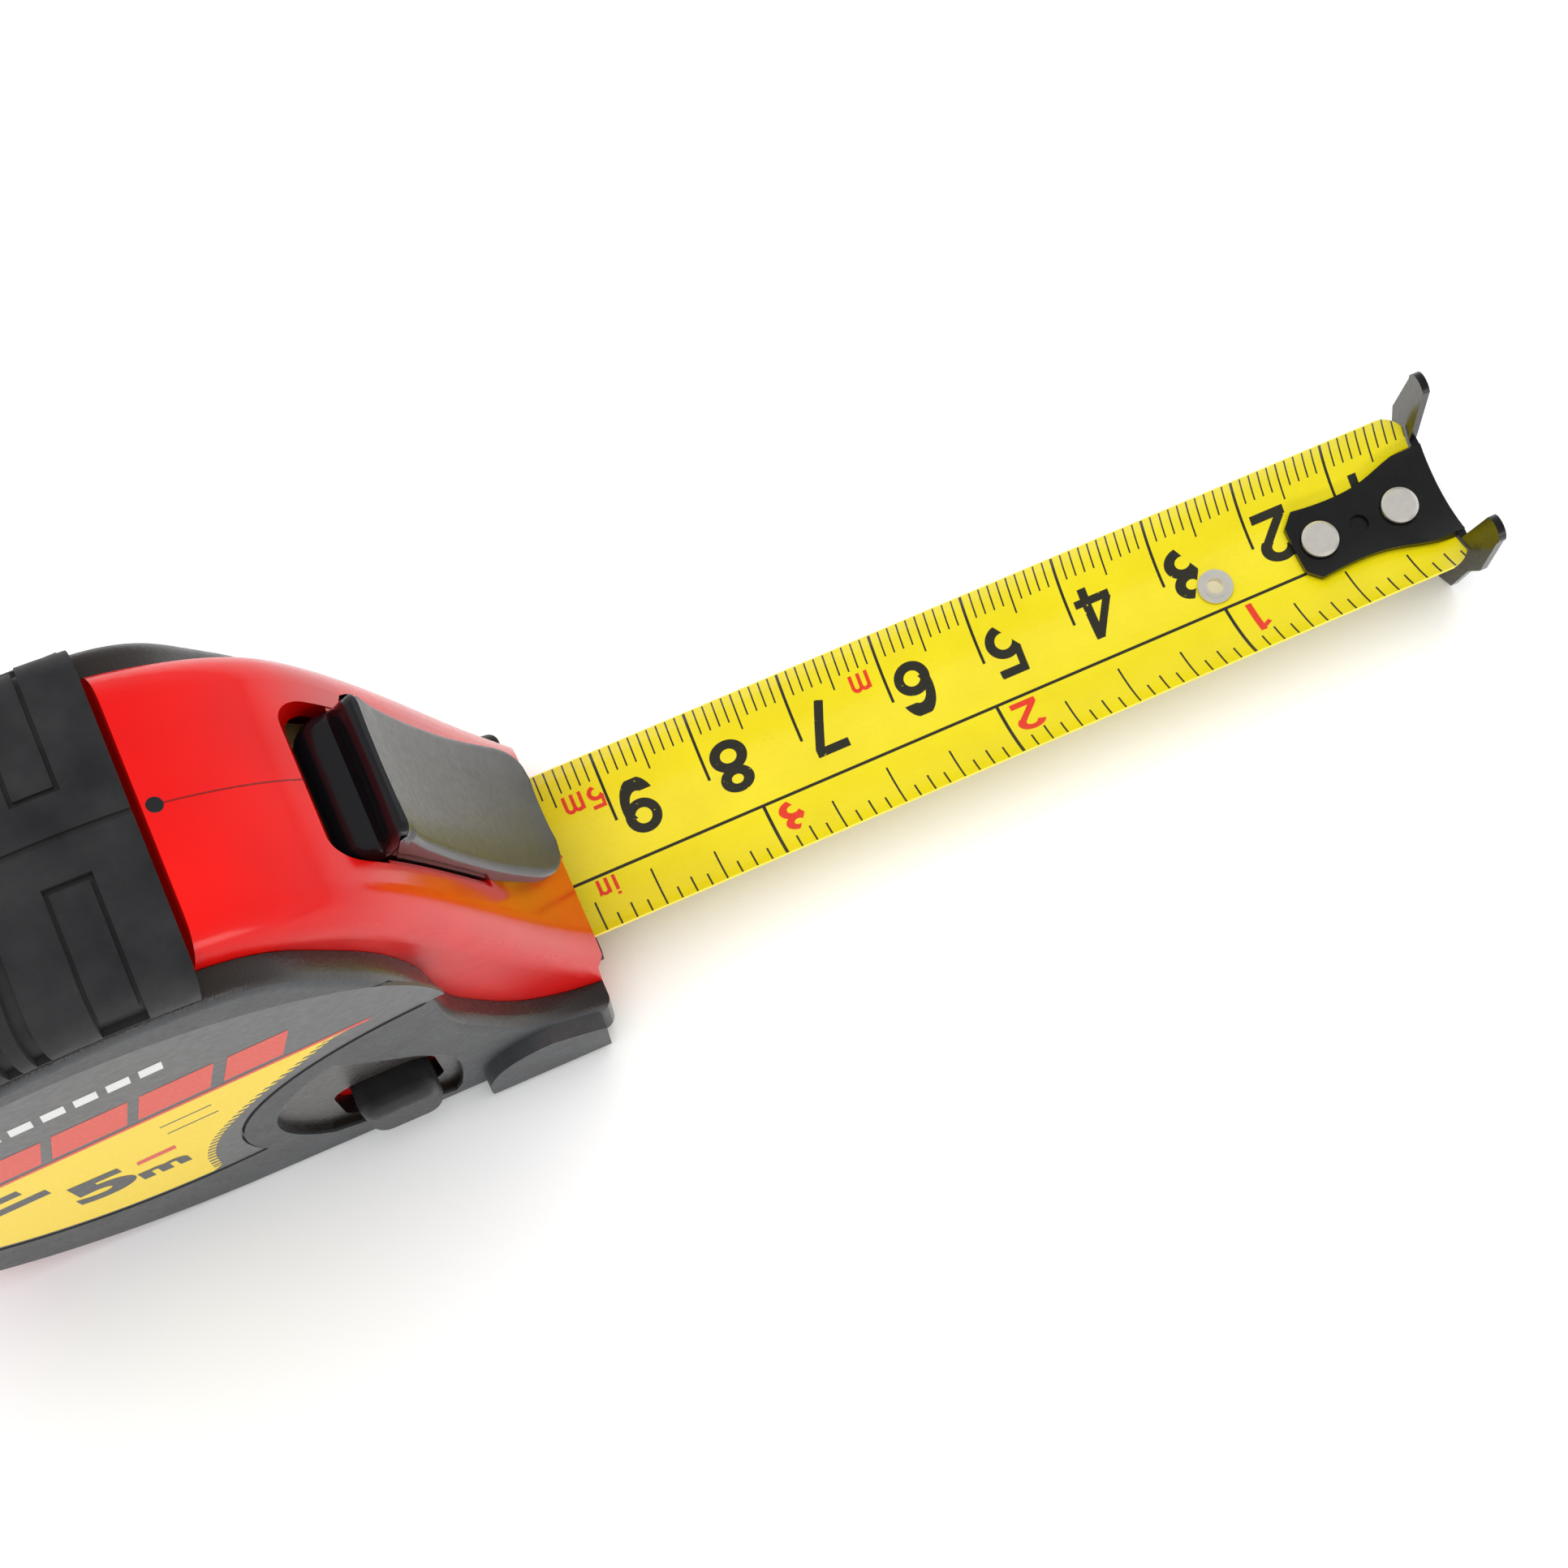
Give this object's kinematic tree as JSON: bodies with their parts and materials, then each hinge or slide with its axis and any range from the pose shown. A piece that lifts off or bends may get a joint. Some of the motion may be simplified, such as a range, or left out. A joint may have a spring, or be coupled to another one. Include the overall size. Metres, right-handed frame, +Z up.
{
  "type": "tape measure",
  "caption": "Pocket tape measure with a hooked steel blade drawn out of a rubber-jacketed case, a thumb lock, a finger brake and a belt clip.",
  "frame": {"origin": "on the resting plane, under the reel's axis, in the case's middle plane", "axes": "+X from the case towards the hook, along the blade; +Y across the case, towards the belt clip; +Z up"},
  "size_m": [0.1744, 0.0402, 0.0788],
  "materials": {
    "red_plastic": "glossy moulded red",
    "black_rubber": "matte",
    "grey_plastic": "fine texture",
    "printed_label": "printed film with red and yellow areas",
    "nylon": "plain moulded",
    "steel": "zinc plated",
    "spring_steel": "blued",
    "yellow_blade": "printed yellow lacquer",
    "nickel": "nickel plated",
    "black_steel": "black oxide",
    "black_gloss": "glossy",
    "grey_pad": "satin",
    "black_plastic": "satin"
  },
  "bodies": {
    "case": {"near_shell": "red_plastic", "far_shell": "red_plastic", "rubber_jacket": "black_rubber", "near_cheek": "grey_plastic", "far_cheek": "grey_plastic", "near_label": "printed_label", "far_label": "printed_label", "arbor_post": "nylon", "reel_washers": "nylon", "lever_pin": "steel", "brake_spring": "spring_steel", "blade_guide": "nylon", "mouth_bumper": "black_rubber", "case_screws": "steel", "belt_clip": "steel", "clip_screw": "steel"},
    "reel": {"reel_drum": "nylon", "reel_cover": "nylon", "main_spring": "spring_steel", "blade_coil": "yellow_blade"},
    "blade": {"blade_strip": "yellow_blade", "hook_rivets": "nickel", "blade_grommet": "nickel"},
    "hook": {"end_hook": "black_steel"},
    "lever": {"lock_lever": "black_gloss", "lever_pad": "grey_pad", "lock_shoe": "black_rubber"},
    "brake": {"brake_bar": "black_plastic", "brake_pad": "black_rubber"}
  },
  "joints": [
    {"name": "reel_spin", "type": "hinge", "parent": "case", "child": "reel", "pos_m": [0, 0, 0.0394], "axis": [0, 1, 0], "range_deg": [-68, 215], "deforming": ["main_spring"]},
    {"name": "blade_slide", "type": "slide", "parent": "case", "child": "blade", "axis": [1, 0, 0], "range_m": [-0.0954, 0.0302], "deforming": ["blade_strip"]},
    {"name": "hook_play", "type": "slide", "parent": "blade", "child": "hook", "axis": [1, 0, 0], "range_m": [0, 0.0008]},
    {"name": "lever_rock", "type": "hinge", "parent": "case", "child": "lever", "pos_m": [0.0249, 0, 0.0512], "axis": [0, 1, 0], "range_deg": [-8, 0]},
    {"name": "brake_press", "type": "slide", "parent": "case", "child": "brake", "axis": [0, 0, 1], "range_m": [0, 0.0018], "stiffness_N_per_m": 1500, "springref_m": -0.0005, "deforming": ["brake_spring"]}
  ],
  "couplings": [
    {"joint": "blade_slide", "follows": "reel_spin", "m_per_rad": -0.0254}
  ]
}
